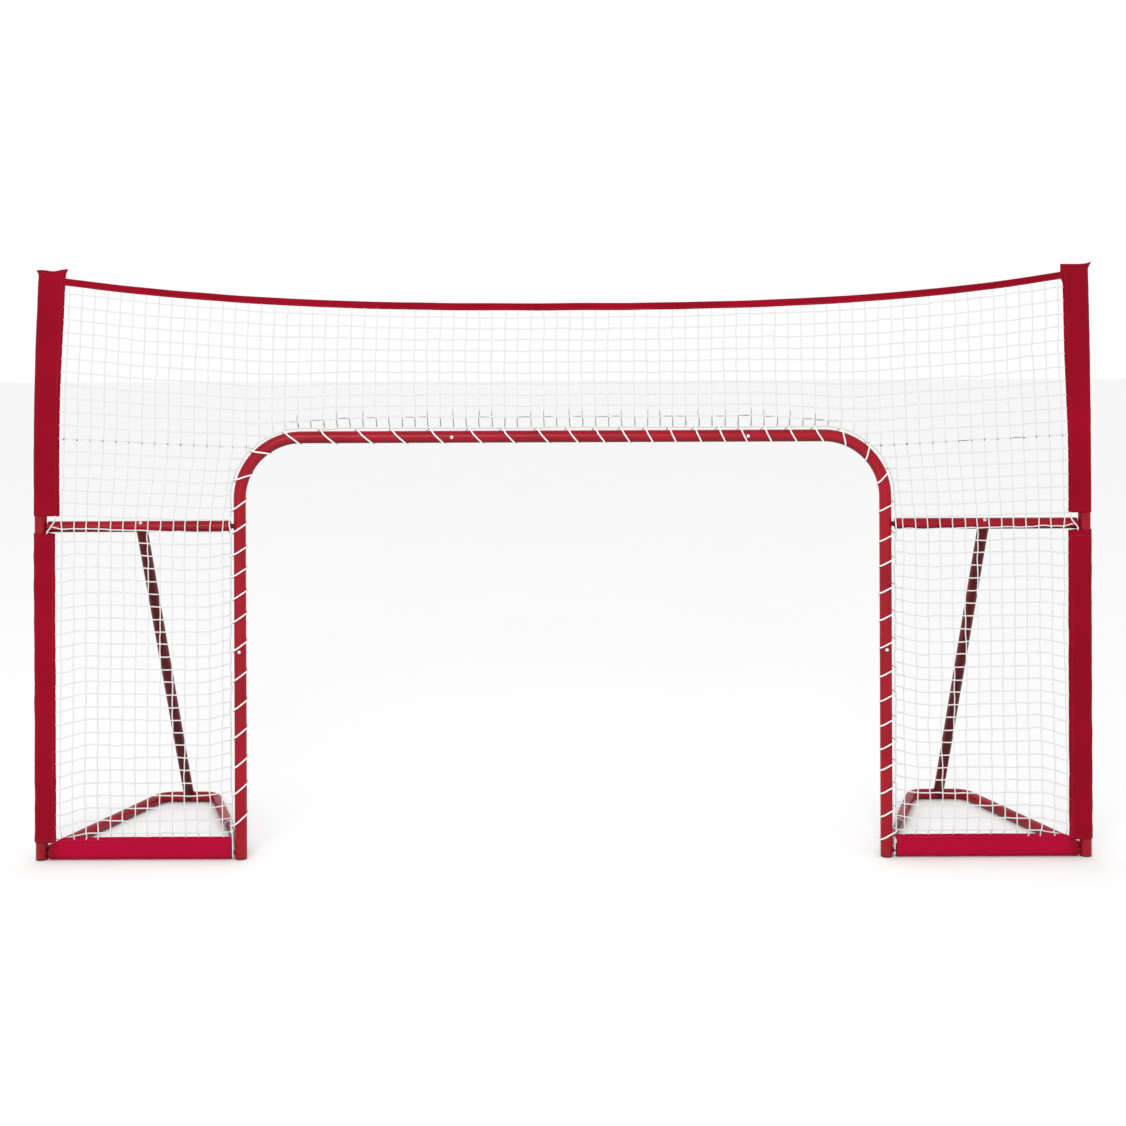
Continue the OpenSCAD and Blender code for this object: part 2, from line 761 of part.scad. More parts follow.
brace(1);  // brace_right
brace_plug(-1);  // brace_plug_left
brace_plug(1);  // brace_plug_right
brace_screws();
upper_sleeve(-1);  // upper_sleeve_left
upper_sleeve(1);  // upper_sleeve_right
lower_sleeve(-1);  // lower_sleeve_left
lower_sleeve(1);  // lower_sleeve_right
bottom_sleeve(-1);  // bottom_sleeve_left
bottom_sleeve(1);  // bottom_sleeve_right
top_strap();
net_side(-1);  // net_side_left
net_side(1);  // net_side_right
net_top();
net_seam_cords();
arch_lacing();
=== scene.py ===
import json
import math

import bpy
import numpy as np
from mathutils import Matrix, Vector, noise


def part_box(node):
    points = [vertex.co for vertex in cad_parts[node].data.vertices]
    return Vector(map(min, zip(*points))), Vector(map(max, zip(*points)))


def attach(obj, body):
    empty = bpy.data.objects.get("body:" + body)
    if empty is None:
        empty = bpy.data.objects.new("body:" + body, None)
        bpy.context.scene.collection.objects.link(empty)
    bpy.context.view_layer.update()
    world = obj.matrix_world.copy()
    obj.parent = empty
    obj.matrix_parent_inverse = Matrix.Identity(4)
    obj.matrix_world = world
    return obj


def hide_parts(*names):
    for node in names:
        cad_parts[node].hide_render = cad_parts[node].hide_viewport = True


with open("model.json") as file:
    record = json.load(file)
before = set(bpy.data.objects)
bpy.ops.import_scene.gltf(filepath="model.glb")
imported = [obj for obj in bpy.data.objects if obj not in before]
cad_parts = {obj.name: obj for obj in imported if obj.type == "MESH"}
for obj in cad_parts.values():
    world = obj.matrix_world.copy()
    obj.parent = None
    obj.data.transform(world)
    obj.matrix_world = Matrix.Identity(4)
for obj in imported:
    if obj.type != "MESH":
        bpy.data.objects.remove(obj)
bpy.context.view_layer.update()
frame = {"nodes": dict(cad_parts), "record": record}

# A street hockey goal: steel tubes from the CAD, with net, lacing and sewn fabric modelled here.
# Metres. +X to the goal's right seen from the shooter, +Y to the back, +Z up.

RNG = np.random.default_rng(71)
NODES = frame["nodes"]
BODY = "frame"
MM = 0.001
SIDES = {"left": -1, "right": 1}


# ---------- Places, read from the frame where it has them ----------

def middle(node):
    low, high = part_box(node)
    return (low + high) / 2


def half(node, axis):
    low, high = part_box(node)
    return (high[axis] - low[axis]) / 2


FRONT_Y = middle("arch_post_right").y
ARCH_X = middle("arch_post_right").x
ARCH_Z = middle("arch_top_bar").z
POST_R = half("arch_post_right", 0)
OUTER_X = middle("outer_post_lower_right").x
RAIL_R = half("side_rail_right", 2)
SIDE_Z = middle("side_rail_right").z
BOTTOM_Z = middle("bottom_rail_right").z
NET_Y = middle("net_top").y
CAP_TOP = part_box("outer_top_cap_right")[1].z
UPPER_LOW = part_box("upper_sleeve_right")[0].z
LOWER_LOW, LOWER_HIGH = (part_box("lower_sleeve_right")[k].z for k in (0, 1))
BOTTOM_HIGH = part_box("bottom_sleeve_right")[1].z
STRAP_LOW, STRAP_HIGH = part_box("top_strap")

# The arch: its bends, and its centre line from foot to foot.
BEND_R = 178 * MM
ARC_X = ARCH_X - BEND_R
ARC_Z = ARCH_Z - BEND_R
BEND_LEN = BEND_R * math.pi / 2
BAR_LEN = 2 * ARC_X
ARCH_LEN = 2 * ARC_Z + 2 * BEND_LEN + BAR_LEN

# The outer posts lean inward from just above their joint.
BOW_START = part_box("outer_post_lower_right")[1].z + 8 * MM

# Width of the sleeves' flat parts, from the post's middle to the edge.
UPPER_TAIL = 57 * MM
LOWER_TAIL = 43 * MM
LOWER_TAILS = {-1: LOWER_TAIL + 1 * MM, 1: LOWER_TAIL + 7 * MM}

# The strap, and the seams between the top net and the side nets.
STRAP_H = 21 * MM
STRAP_MID = STRAP_HIGH.z - 79 * MM
SEAM_AT_ARCH = 1189 * MM
SEAM_RISE = 27 * MM


def clamp(x, low, high):
    return min(max(x, low), high)


def smooth(a, b, x):
    """Goes from 0 at a to 1 at b, with level ends."""
    t = clamp((x - a) / (b - a), 0, 1)
    return t * t * (3 - 2 * t)


def bow_radius(word):
    cap = middle(f"outer_top_cap_{word}")
    rise, drop = cap.z - BOW_START, OUTER_X - abs(cap.x)
    return (rise * rise + drop * drop) / (2 * drop)


BOW_R = {side: bow_radius(word) for word, side in SIDES.items()}


def bow(side, z):
    """How far an outer post leans inward at a height."""
    up = max(z - BOW_START, 0)
    return BOW_R[side] - math.sqrt(BOW_R[side] ** 2 - up * up)


def upper_tail(side, z):
    """Width of an upper sleeve's flat part: the left one widens upward, the right one narrows downward."""
    if side < 0:
        return UPPER_TAIL + 4 * MM * smooth(1.3, 1.6, z)
    return UPPER_TAIL - 8 * MM * smooth(1.5, 1.15, z)


def tail_edge(side, z):
    """Distance from the goal's middle to a sleeve's flat edge at a height."""
    upper = z > (LOWER_HIGH + UPPER_LOW) / 2
    return OUTER_X - bow(side, z) - (upper_tail(side, z) if upper else LOWER_TAILS[side])


def strap_top(x):
    """Height of the strap's upper edge across the goal."""
    end, lift = (-STRAP_LOW.x, -2 * MM) if x < 0 else (STRAP_HIGH.x, 7 * MM)
    share = abs(x) / end
    return STRAP_MID + (STRAP_HIGH.z - STRAP_MID) * share ** 2.6 + lift * share ** 5


def seam_z(x):
    """Height of the seam between the top net and a side net."""
    share = (abs(x) - ARCH_X) / (OUTER_X - UPPER_TAIL - ARCH_X)
    return SEAM_AT_ARCH + SEAM_RISE * clamp(share, -0.2, 1)


# ---------- Mesh helpers ----------

def mesh_piece(name, verts, faces, uvs):
    mesh = bpy.data.meshes.new(name)
    mesh.from_pydata(np.asarray(verts).tolist(), [], faces)
    layer = mesh.uv_layers.new(name="cloth")
    index = np.zeros(len(mesh.loops), int)
    mesh.loops.foreach_get("vertex_index", index)
    layer.data.foreach_set("uv", np.asarray(uvs)[index].ravel())
    mesh.polygons.foreach_set("use_smooth", [True] * len(mesh.polygons))
    mesh.validate()
    piece = bpy.data.objects.new(name, mesh)
    bpy.context.scene.collection.objects.link(piece)
    return piece


class Bundle:
    """Gathers many small shapes into one mesh."""

    def __init__(self):
        self.verts, self.uvs, self.faces, self.count = [], [], [], 0

    def add(self, verts, uvs, faces):
        self.verts.append(verts)
        self.uvs.append(uvs)
        self.faces += [[corner + self.count for corner in face] for face in faces]
        self.count += len(verts)

    def piece(self, name):
        return mesh_piece(name, np.concatenate(self.verts), self.faces, np.concatenate(self.uvs))


def unit(v):
    return v / np.maximum(np.linalg.norm(v, axis=-1, keepdims=True), 1e-12)


def run_along(path):
    """Distance along a path at each of its points."""
    return np.concatenate([[0], np.cumsum(np.linalg.norm(np.diff(path, axis=0), axis=1))])


def sample(path, run, at):
    """The path's points at given distances along it."""
    return np.stack([np.interp(at, run, column) for column in path.T], axis=1)


def cross_directions(path):
    """Two directions across the path at each point, turned as little as possible."""
    tangents = unit(np.gradient(path, axis=0))
    across = np.cross(tangents[0], [0.3, 0.5, 0.81])
    first = np.zeros_like(path)
    for i, t in enumerate(tangents):
        across = across - t * np.dot(across, t)
        across = across / np.linalg.norm(across)
        first[i] = across
    return first, np.cross(tangents, first)


def tube_faces(rows, sides):
    """Quads between neighbouring rings of points."""
    i, k = np.meshgrid(np.arange(rows - 1), np.arange(sides), indexing="ij")
    a, b = i * sides + k, i * sides + (k + 1) % sides
    return np.stack([a, b, b + sides, a + sides], axis=-1).reshape(-1, 4)


def add_cord(bundle, path, radius, sides=6):
    """Adds a round cord with closed ends, with uvs in metres along it and turns round it."""
    path = np.asarray(path, float)
    n = len(path)
    radius = np.broadcast_to(radius, (n,))
    first, second = cross_directions(path)
    turn = np.arange(sides) * 2 * math.pi / sides
    ring = np.cos(turn)[:, None] * first[:, None] + np.sin(turn)[:, None] * second[:, None]
    verts = (path[:, None] + radius[:, None, None] * ring).reshape(-1, 3)
    uvs = np.stack([np.repeat(run_along(path), sides), np.tile(np.arange(sides) / sides, n)], axis=1)
    foot, head = np.arange(sides)[::-1], (n - 1) * sides + np.arange(sides)
    bundle.add(verts, uvs, [*tube_faces(n, sides).tolist(), foot.tolist(), head.tolist()])


def ball(rings=4, sides=6):
    """The points and faces of a small rounded shape of unit size."""
    verts = [(0, 0, 1)]
    for i in range(1, rings):
        a = math.pi * i / rings
        for k in range(sides):
            b = 2 * math.pi * k / sides
            verts.append((math.sin(a) * math.cos(b), math.sin(a) * math.sin(b), math.cos(a)))
    verts.append((0, 0, -1))
    faces = []
    for k in range(sides):
        m = (k + 1) % sides
        faces.append((0, 1 + k, 1 + m))
        for i in range(rings - 2):
            a = 1 + i * sides
            faces.append((a + k, a + sides + k, a + sides + m, a + m))
        a = 1 + (rings - 2) * sides
        faces.append((a + m, a + k, len(verts) - 1))
    return np.array(verts), faces


BALL_VERTS, BALL_FACES = ball()


def add_knot(bundle, at, size):
    """Adds a lumpy knot at a point."""
    spin = Matrix.Rotation(RNG.uniform(0, math.pi), 3, "Y")
    lumps = 1 + 0.12 * RNG.standard_normal(len(BALL_VERTS))
    verts = (BALL_VERTS * lumps[:, None] * size) @ np.array(spin).T + at
    bundle.add(verts, np.stack([verts[:, 0], verts[:, 2] * 40], axis=1), BALL_FACES)


def wobble(x, y, z, scale):
    """Smooth noise from -1 to 1 whose waves are about as long as scale."""
    return noise.noise(Vector((x, y, z)) * (1 / scale))


# ---------- Materials ----------

class Shader:
    """A small helper that builds a node material round one Principled shader."""

    def __init__(self, name):
        self.material = bpy.data.materials.new(name)
        self.material.use_nodes = True
        self.tree = self.material.node_tree
        self.bsdf = self.tree.nodes["Principled BSDF"]
        coords = self.tree.nodes.new("ShaderNodeTexCoord")
        self.object = coords.outputs["Object"]
        self.uv = coords.outputs["UV"]
        self.normal = coords.outputs["Normal"]

    def link(self, a, b):
        self.tree.links.new(a, b)

    def noise(self, scale, detail):
        node = self.tree.nodes.new("ShaderNodeTexNoise")
        node.inputs["Scale"].default_value = scale
        node.inputs["Detail"].default_value = detail
        node.inputs["Roughness"].default_value = 0.5
        self.link(self.object, node.inputs["Vector"])
        return node.outputs["Fac"]

    def calc(self, kind, *values):
        node = self.tree.nodes.new("ShaderNodeMath")
        node.operation = kind
        for socket, value in zip(node.inputs, values):
            if isinstance(value, (int, float)):
                socket.default_value = value
            else:
                self.link(value, socket)
        return node.outputs[0]

    def times(self, a, b):
        return self.calc("MULTIPLY", a, b)

    def plus(self, a, b):
        return self.calc("ADD", a, b)

    def stretch(self, value, low, high, to_low=0.0, to_high=1.0):
        node = self.tree.nodes.new("ShaderNodeMapRange")
        self.link(value, node.inputs["Value"])
        for key, number in (("From Min", low), ("From Max", high), ("To Min", to_low), ("To Max", to_high)):
            node.inputs[key].default_value = number
        return node.outputs["Result"]

    def mix(self, factor, a, b):
        node = self.tree.nodes.new("ShaderNodeMix")
        node.data_type = "RGBA"
        self.link(factor, node.inputs[0])
        for socket, colour in ((node.inputs[6], a), (node.inputs[7], b)):
            if isinstance(colour, tuple):
                socket.default_value = (*colour, 1)
            else:
                self.link(colour, socket)
        return node.outputs[2]

    def split(self, vector):
        node = self.tree.nodes.new("ShaderNodeSeparateXYZ")
        self.link(vector, node.inputs[0])
        return node.outputs

    def bump(self, height, strength, distance, normal=None):
        node = self.tree.nodes.new("ShaderNodeBump")
        node.inputs["Strength"].default_value = strength
        node.inputs["Distance"].default_value = distance
        self.link(height, node.inputs["Height"])
        if normal:
            self.link(normal, node.inputs["Normal"])
        return node.outputs["Normal"]

    def finish(self, colour, rough, normal, **fixed):
        for key, value in (("Base Color", colour), ("Roughness", rough), ("Normal", normal)):
            self.link(value, self.bsdf.inputs[key])
        for key, value in fixed.items():
            self.bsdf.inputs[key.replace("_", " ").title().replace("Ior", "IOR")].default_value = value
        return self.material


def powder_coat(name, colour, dark, scuff):
    """Powder coat with orange peel, colour drift, scuffs, dust near the floor, and painted shade on its
    undersides.
    """
    s = Shader(name)
    paint = s.mix(s.stretch(s.noise(7, 3), 0.35, 0.65), dark, colour)
    specks = s.stretch(s.noise(260, 2), 0.70, 0.74)
    patches = s.stretch(s.noise(14, 4), 0.52, 0.66)
    paint = s.mix(s.times(s.times(specks, patches), 0.6), paint, scuff)
    low = s.stretch(s.split(s.object)[2], 0.07, 0.0)
    dust = s.times(s.times(low, s.stretch(s.noise(60, 4), 0.42, 0.7)), 0.12)
    paint = s.mix(dust, paint, (0.16, 0.10, 0.09))
    # Painted shade: faces that point down are mixed towards a much darker copy of the paint.
    under = s.stretch(s.split(s.normal)[2], -0.25, -0.85, 0, 0.75)
    paint = s.mix(under, paint, tuple(0.25 * c for c in dark))
    rough = s.stretch(s.noise(35, 3), 0.3, 0.7, 0.30, 0.42)
    peel = s.bump(s.noise(700, 2), 0.10, 0.0006)
    return s.finish(paint, rough, peel, coat_weight=0.04, coat_roughness=0.2, specular_ior_level=0.17)


def woven(name, colour, dark, lit, pitch):
    """Plain-woven polyester: threads from the uvs, colour drift, and painted light: a brighter tone on the
    cloth over the floor rails.
    """
    s = Shader(name)
    u, v, _ = s.split(s.uv)
    turn = 2 * math.pi / pitch
    cross = s.times(s.calc("SINE", s.times(u, turn)), s.calc("SINE", s.times(v, turn)))
    slub = s.noise(420, 2)
    thread = s.plus(s.times(cross, 0.35), s.times(slub, 0.6))
    drift = s.stretch(s.plus(s.noise(5, 3), s.times(thread, 0.10)), 0.35, 0.72)
    cloth = s.mix(drift, dark, colour)
    fuzz = s.stretch(s.noise(1500, 1), 0.62, 0.8, 0, 0.07)
    cloth = s.mix(fuzz, cloth, (0.45, 0.02, 0.06))
    # Painted light: cloth low down between the outer posts, over the floor rails, is mixed towards the
    # brighter lit colour.
    across, _, height = s.split(s.object)
    inside = s.stretch(s.calc("ABSOLUTE", across), 1.47, 1.45)
    floor_rail_painted_light = s.times(s.stretch(height, 0.12, 0.10), inside)
    cloth = s.mix(s.times(floor_rail_painted_light, 0.75), cloth, lit)
    dust = s.times(s.stretch(height, 0.10, 0.0), s.stretch(s.noise(45, 4), 0.40, 0.75))
    cloth = s.mix(s.times(dust, 0.06), cloth, (0.13, 0.03, 0.035))
    creases = s.bump(s.noise(22, 4), 0.25, 0.004)
    weave = s.bump(thread, 0.45, 0.00035, creases)
    rough = s.stretch(slub, 0.3, 0.7, 0.70, 0.88)
    return s.finish(cloth, rough, weave, sheen_weight=0.01, sheen_roughness=0.5, specular_ior_level=0.08)


def twine(name, colour, dark, lay, strands):
    """Twisted or braided cord: strands wind round it, from the uvs, with a little soil."""
    s = Shader(name)
    u, v, _ = s.split(s.uv)
    along = s.times(u, 2 * math.pi / lay)
    around = s.times(v, 2 * math.pi * strands)
    one = s.calc("ABSOLUTE", s.calc("SINE", s.plus(along, around)))
    two = s.calc("ABSOLUTE", s.calc("SINE", s.calc("SUBTRACT", along, around)))
    braid = s.plus(s.times(one, 0.6), s.times(two, 0.4))
    fibre = s.noise(900, 2)
    # Painted shade in the grooves between the strands, mixed with random fibre tone.
    shade = s.stretch(s.plus(s.times(braid, 0.5), s.times(fibre, 0.6)), 0.2, 0.9)
    yarn = s.mix(shade, dark, colour)
    soil = s.stretch(s.noise(9, 4), 0.60, 0.80, 0, 0.35)
    yarn = s.mix(soil, yarn, (0.55, 0.52, 0.50))
    normal = s.bump(s.plus(braid, s.times(fibre, 0.4)), 0.5, 0.0006)
    rough = s.stretch(fibre, 0.3, 0.7, 0.62, 0.82)
    return s.finish(yarn, rough, normal, sheen_weight=0.2, sheen_roughness=0.5, specular_ior_level=0.35)


def zinc(name):
    """Zinc plate with a fine brushed grain and dull patches."""
    s = Shader(name)
    plate = s.mix(s.stretch(s.noise(90, 3), 0.35, 0.65), (0.62, 0.63, 0.65), (0.86, 0.86, 0.88))
    rough = s.stretch(s.noise(240, 2), 0.3, 0.7, 0.25, 0.45)
    grain = s.bump(s.noise(1800, 2), 0.12, 0.0002)
    return s.finish(plate, rough, grain, metallic=0.9)


def moulded(name, colour):
    """Moulded plastic with a fine spark texture and rubbed lighter patches."""
    s = Shader(name)
    rubbed = s.stretch(s.noise(70, 4), 0.55, 0.75, 0, 0.4)
    plastic = s.mix(rubbed, colour, tuple(3 * c + 0.02 for c in colour))
    rough = s.stretch(s.noise(160, 2), 0.3, 0.7, 0.42, 0.62)
    return s.finish(plastic, rough, s.bump(s.noise(2200, 2), 0.3, 0.0002))


def plain_floor(name):
    s = Shader(name)
    pale = s.mix(s.noise(1.5, 3), (0.91, 0.91, 0.905), (0.93, 0.93, 0.925))
    rough = s.stretch(s.noise(8, 3), 0.3, 0.7, 0.75, 0.9)
    return s.finish(pale, rough, s.bump(s.noise(300, 2), 0.05, 0.0005))


RED = powder_coat("red_powder_coat", (0.31, 0.0018, 0.0125), (0.235, 0.001, 0.009), (0.42, 0.12, 0.12))
# Painted shade: a darker copy of the red powder coat, for the parts in the dark_paint slot and the weld
# beads.
SHADED_RED = powder_coat(
    "shaded_red_powder_coat", (0.12, 0.0025, 0.005), (0.075, 0.0015, 0.003), (0.25, 0.08, 0.07),
)
# The third colour is painted light for the cloth over the floor rails.
CLOTH = woven(
    "crimson_polyester", (0.265, 0.0003, 0.0125), (0.205, 0.0002, 0.009), (0.40, 0.0006, 0.032), 0.9 * MM,
)
THREAD = twine("crimson_thread", (0.30, 0.006, 0.02), (0.14, 0.002, 0.008), 1.2 * MM, 1)
NET_TWINE = twine("white_net_twine", (0.72, 0.72, 0.72), (0.52, 0.52, 0.53), 5 * MM, 1)
# Painted shade: grey twine laid where the net's cords and knots fall in shade beside the bar and along the
# seams.
SHADE_TWINE = twine("grey_painted_shade_twine", (0.24, 0.24, 0.24), (0.12, 0.12, 0.12), 4 * MM, 1)
LACE = twine("white_lacing_cord", (0.90, 0.89, 0.89), (0.66, 0.65, 0.65), 6 * MM, 2)
ZINC = zinc("zinc_plate")
BLACK = moulded("black_maroon_plastic", (0.018, 0.006, 0.008))
SLOT_MATERIALS = {
    "red_paint": RED, "dark_paint": SHADED_RED, "crimson_fabric": CLOTH, "white_net": NET_TWINE,
    "white_cord": LACE, "zinc_steel": ZINC, "black_plastic": BLACK,
}


def dress(piece, material, replaced=()):
    """Gives a new piece its material and its place in the table."""
    piece.data.materials.clear()
    piece.data.materials.append(material)
    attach(piece, BODY)
    if replaced:
        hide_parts(*replaced)
    return piece


for part in frame["record"]["subparts"]:
    for material_slot in NODES[part["node"]].material_slots:
        material_slot.material = SLOT_MATERIALS[part["material_slot"]]


# ---------- Sleeves ----------

CLOTH_T = 0.9 * MM
FOLD_T = 3.8 * MM
FOLD_Y = -POST_R - 1.8 * MM
SLEEVE_EASE = 1.3 * MM
SECTION_POINTS = 72
STITCH_R = 0.42 * MM

# By side: the upper sleeves' tops, how far below them they are sewn shut, and how far their corners reach
# out and in.
SLEEVE_TOP = {-1: 1700 * MM, 1: 1708.5 * MM}
SLEEVE_HEM = {-1: 5.5 * MM, 1: 8 * MM}
EARS = {-1: (7 * MM, 6 * MM), 1: (10 * MM, 5.5 * MM)}


def teardrop(radius, tail, edge_y):
    """A sleeve's closed section and its girth: round the tube, drawn out to a flat edge at -tail."""
    front = np.array([-tail, edge_y])
    rear = np.array([-tail, edge_y + FOLD_T])
    start = math.atan2(front[1], front[0]) + math.acos(min(1, radius / np.linalg.norm(front)))
    end = math.atan2(rear[1], rear[0]) - math.acos(min(1, radius / np.linalg.norm(rear)))
    start = (start + math.pi) % (2 * math.pi) - math.pi
    end = (end + 2 * math.pi) % (2 * math.pi)
    arc = np.linspace(start, end, 60)
    fold = np.linspace(0, math.pi, 7)[1:-1]
    half_t = FOLD_T / 2
    cap = np.stack([-tail - half_t * np.sin(fold), edge_y + half_t + half_t * np.cos(fold)], axis=1)
    loop = np.concatenate([
        [front], radius * np.stack([np.cos(arc), np.sin(arc)], axis=1), [rear], cap, [front],
    ])
    run = run_along(loop)
    girth = run[-1]
    return sample(loop, run, np.arange(SECTION_POINTS) / SECTION_POINTS * girth), girth


def shell(name, outer, inner, uvs):
    """A tube of cloth from two grids of points, open at both ends, with rims."""
    rows, cols = outer.shape[:2]
    verts = np.concatenate([outer.reshape(-1, 3), inner.reshape(-1, 3)])
    walls = tube_faces(rows, cols)
    under = rows * cols
    last = under - cols
    k = np.arange(cols)
    m = (k + 1) % cols
    rim_low = np.stack([m, k, k + under, m + under], axis=-1)
    rim_high = np.stack([last + k, last + m, last + m + under, last + k + under], axis=-1)
    faces = np.concatenate([walls, walls[:, ::-1] + under, rim_low, rim_high])
    return mesh_piece(name, verts, faces.tolist(), np.concatenate([uvs, uvs]))


def grid_normals(grid):
    """Normals of a grid that closes on itself across, pointing outward."""
    across = np.roll(grid, -1, axis=1) - np.roll(grid, 1, axis=1)
    normals = unit(np.cross(across, np.gradient(grid, axis=0)))
    outward = np.sum(normals * (grid - grid.mean(axis=1, keepdims=True)))
    return normals if outward >= 0 else -normals


def add_stitches(bundle, path, out, step=5.5 * MM, length=3.6 * MM):
    """Adds a row of stitches along a path that lies on cloth, raised along out."""
    run = run_along(path)
    for start in np.arange(step / 2, run[-1] - length, step):
        at = start + length * np.array([0, 0.25, 0.75, 1])
        lift = np.array([-0.2, 0.3, 0.3, -0.2]) * MM
        spots = sample(path, run, at) + sample(out, run, at) * lift[:, None]
        add_cord(bundle, spots, STITCH_R * np.array([0.6, 1, 1, 0.6]), 5)


def stitch_lines(rows, edge_end, hem):
    """Rows and columns of a sleeve's stitching: down both faces of the flat edge, and round both ends."""
    edge = np.arange(2, rows - edge_end)
    ring = np.append(np.arange(SECTION_POINTS), 0)
    lines = [(edge, np.full(len(edge), column)) for column in (3, SECTION_POINTS - 6)]
    return lines + [(np.full(len(ring), row), ring) for row in (2, rows - hem)]


def cloth_push(spot, sag, crease):
    """How far cloth stands off its smooth shape at a point: soft waves and sharp creases."""
    x, y, z = spot
    soft = wobble(x + 3, y, z, 55 * MM)
    ridge = 1 - abs(wobble(x * 1.3 + 0.7 * z, y + 5, z * 0.8 - 0.5 * x, 34 * MM)) * 2.2
    return sag * soft + crease * max(0, ridge - 0.55) + 0.15 * MM


def sleeve(name, levels, shape, place, crease, flip, edge_end, hem, ears=None, sag=0.5 * MM):
    """Builds one sewn sleeve: shape() gives its section at a level, and place() puts it in the frame."""
    grid, girths = [], []
    for level in levels:
        loop, girth = teardrop(*shape(level))
        if ears:
            loop = ears(level, loop)
        grid.append(place(level, loop))
        girths.append(girth)
    grid = np.array(grid)
    normals = grid_normals(grid)
    push = np.array([
        [cloth_push(spot, sag, crease(level)) for spot in row] for level, row in zip(levels, grid)
    ])
    grid = grid + normals * push[..., None]
    outer, inner = grid + normals * CLOTH_T / 2, grid - normals * CLOTH_T / 2
    around = np.arange(SECTION_POINTS) / SECTION_POINTS * np.mean(girths)
    along = levels - levels[0]
    uvs = np.stack([np.tile(around, len(levels)), np.repeat(along, SECTION_POINTS)], axis=1)
    turned = slice(None, None, -1 if flip else 1)
    piece = shell(f"{name}_cloth", outer[:, turned], inner[:, turned], uvs)
    dress(piece, CLOTH, [name])
    thread = Bundle()
    for rows, cols in stitch_lines(len(levels), edge_end, hem):
        add_stitches(thread, outer[rows, cols], normals[rows, cols])
    threads = dress(thread.piece(f"{name}_cloth_stitching"), THREAD)
    float(np.mean(girths))


def stand(side, z, loop):
    """Puts a post sleeve's section at a height."""
    x = side * (OUTER_X - bow(side, z) + loop[:, 0])
    return np.stack([x, FRONT_Y + loop[:, 1], np.full(len(loop), z)], axis=1)


def build_upper_sleeve(word, side):
    """The sleeve over a bowed upper post, sewn shut above the cap, with its corners drawn out into ears."""
    top = SLEEVE_TOP[side]
    stitched = top - SLEEVE_HEM[side]
    ear_out, ear_in = EARS[side]

    def shape(z):
        ease = SLEEVE_EASE + 0.35 * MM * abs(math.sin(z * 40 + side))
        return POST_R + ease, upper_tail(side, z), FOLD_Y

    def ears(z, loop):
        x, y = loop.T
        grow_out = smooth(stitched - 9 * MM, top, z) ** 1.3
        grow_in = grow_out if side < 0 else smooth(top - 56 * MM, top - 42 * MM, z)
        x = x + ear_out * grow_out * np.exp(-(y / (9 * MM)) ** 2) * (x > 0)
        x = x - ear_in * grow_in * np.clip((-x - 30 * MM) / (UPPER_TAIL - 30 * MM), 0, 1)
        shut = smooth(CAP_TOP - 0.5 * MM, stitched, z)
        share = np.clip((x + UPPER_TAIL) / (UPPER_TAIL + POST_R), 0, 1.3)
        line = -POST_R - 0.5 * MM + 13 * MM * share
        half_t = 1.1 * MM * np.sign(y - line + 1e-6)
        return np.stack([x, y * (1 - shut) + (line + half_t) * shut], axis=1)

    def place(z, loop):
        points = stand(side, min(z, CAP_TOP), loop)
        share = (loop[:, 0] + UPPER_TAIL) / (UPPER_TAIL + POST_R)
        ear = 1.5 * np.abs(share * 2 - 1) ** 3
        if side < 0:
            wave = 1.6 * np.cos(share * 7.5) - 0.8 + ear
        else:
            wave = 1.8 * share ** 5 - 1.2 + ear * (share > 0.5)
        points[:, 2] = z + wave * MM * smooth(stitched - 4 * MM, stitched, z)
        return points

    def crease(z):
        return (0.5 + 1.0 * smooth(1.55, 1.69, z) + 0.5 * smooth(1.06, UPPER_LOW, z)) * MM

    levels = np.concatenate([
        [UPPER_LOW], np.arange(UPPER_LOW + 3 * MM, CAP_TOP - 30 * MM, 6.5 * MM),
        np.linspace(CAP_TOP - 28 * MM, CAP_TOP + 0.3 * MM, 9), np.linspace(CAP_TOP + 0.8 * MM, stitched, 4),
        np.linspace(stitched + 2 * MM, top, 4),
    ])
    sleeve(
        f"upper_sleeve_{word}", levels, shape, place, crease,
        flip=side < 0, edge_end=9, hem=4, ears=ears,
    )


def build_lower_sleeve(word, side):
    """The sleeve over a lower post: close round it at the foot, and drawn out flat above that."""
    collar = POST_R + 4 * MM

    def shape(z):
        tail = collar + (LOWER_TAILS[side] - collar) * smooth(46 * MM, 56 * MM, z)
        return POST_R + SLEEVE_EASE + 0.4 * MM * abs(math.sin(z * 31)), tail, FOLD_Y

    def place(z, loop):
        return stand(side, z, loop)

    def crease(z):
        return (0.9 + 0.9 * smooth(0.35, 0.08, z)) * MM

    levels = np.concatenate([
        [LOWER_LOW], np.arange(LOWER_LOW + 3 * MM, 100 * MM, 4 * MM),
        np.arange(106 * MM, LOWER_HIGH - 4 * MM, 7 * MM), [LOWER_HIGH - 3 * MM, LOWER_HIGH],
    ])
    sleeve(
        f"lower_sleeve_{word}", levels, shape, place, crease,
        flip=side < 0, edge_end=3, hem=4, sag=1.3 * MM,
    )


